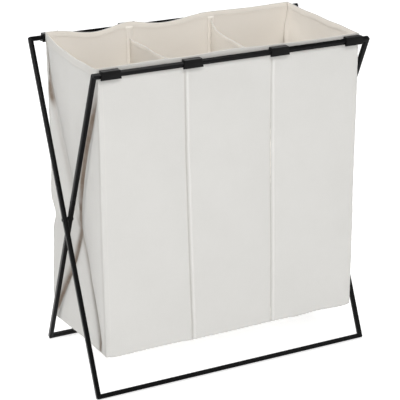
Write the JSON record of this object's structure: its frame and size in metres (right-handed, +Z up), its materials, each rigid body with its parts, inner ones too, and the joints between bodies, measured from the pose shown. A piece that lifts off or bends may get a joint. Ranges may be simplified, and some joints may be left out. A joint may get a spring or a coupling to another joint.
{
  "type": "folding laundry sorter",
  "caption": "Folding laundry sorter: two crossed black tube frames carry an open cream fabric bag with divided compartments, clipped to the top rails.",
  "frame": {"origin": "on the floor, under the middle of the open object", "axes": "+X the right side seen from the front, +Y the back, +Z up; the pivot axis runs along X and the rails are parallel to it"},
  "size_m": [0.6346, 0.3278, 0.6887],
  "materials": {
    "tube_powder_coat": "semi-gloss black powder coat, fine orange peel",
    "rivet_steel": "black domed steel rivet head",
    "washer_plastic": "black nylon",
    "clip_plastic": "moulded black plastic, finely textured",
    "bag_fabric": "plain-woven cream polyester, matt",
    "hem_fabric": "folded and stitched hem of the same cloth"
  },
  "bodies": {
    "outer_frame": {"outer_top_rail": "tube_powder_coat", "outer_bottom_rail": "tube_powder_coat", "outer_left_leg": "tube_powder_coat", "outer_right_leg": "tube_powder_coat", "left_pivot_rivet": "rivet_steel", "right_pivot_rivet": "rivet_steel", "left_pivot_washer": "washer_plastic", "right_pivot_washer": "washer_plastic", "back_left_corner_clip": "clip_plastic", "back_left_divider_clip": "clip_plastic", "back_right_divider_clip": "clip_plastic", "back_right_corner_clip": "clip_plastic", "back_hem": "hem_fabric"},
    "inner_frame": {"inner_top_rail": "tube_powder_coat", "inner_bottom_rail": "tube_powder_coat", "inner_left_leg": "tube_powder_coat", "inner_right_leg": "tube_powder_coat", "front_left_corner_clip": "clip_plastic", "front_left_divider_clip": "clip_plastic", "front_right_divider_clip": "clip_plastic", "front_right_corner_clip": "clip_plastic", "front_hem": "hem_fabric"},
    "bag_back": {"back_panel": "bag_fabric", "left_side_bottom_fold": "bag_fabric", "left_side_back_fold": "bag_fabric", "left_side_top_fold": "bag_fabric", "left_side_front_fold": "bag_fabric", "right_side_bottom_fold": "bag_fabric", "right_side_back_fold": "bag_fabric", "right_side_top_fold": "bag_fabric", "right_side_front_fold": "bag_fabric", "left_divider": "bag_fabric", "right_divider": "bag_fabric", "base_panel": "bag_fabric", "left_hem": "hem_fabric", "right_hem": "hem_fabric"},
    "bag_front": {"front_panel": "bag_fabric"}
  },
  "joints": [
    {"name": "frame_fold", "type": "hinge", "parent": "outer_frame", "child": "inner_frame", "pos_m": [0, 0, 0.33882], "axis": [-1, 0, 0], "range_deg": [0, 44.5], "deforming": ["left_side_bottom_fold", "left_side_back_fold", "left_side_top_fold", "left_side_front_fold", "right_side_bottom_fold", "right_side_back_fold", "right_side_top_fold", "right_side_front_fold", "left_divider", "right_divider", "base_panel", "left_hem", "right_hem"]},
    {"name": "bag_back_swing", "type": "hinge", "parent": "outer_frame", "child": "bag_back", "pos_m": [0, 0.156, 0.67965], "axis": [-1, 0, 0], "range_deg": [0, 22.25]},
    {"name": "bag_front_swing", "type": "hinge", "parent": "inner_frame", "child": "bag_front", "pos_m": [0, -0.156, 0.67965], "axis": [1, 0, 0], "range_deg": [0, 22.25]}
  ],
  "couplings": [
    {"joint": "bag_back_swing", "follows": "frame_fold", "ratio": 0.5},
    {"joint": "bag_front_swing", "follows": "frame_fold", "ratio": 0.5}
  ]
}
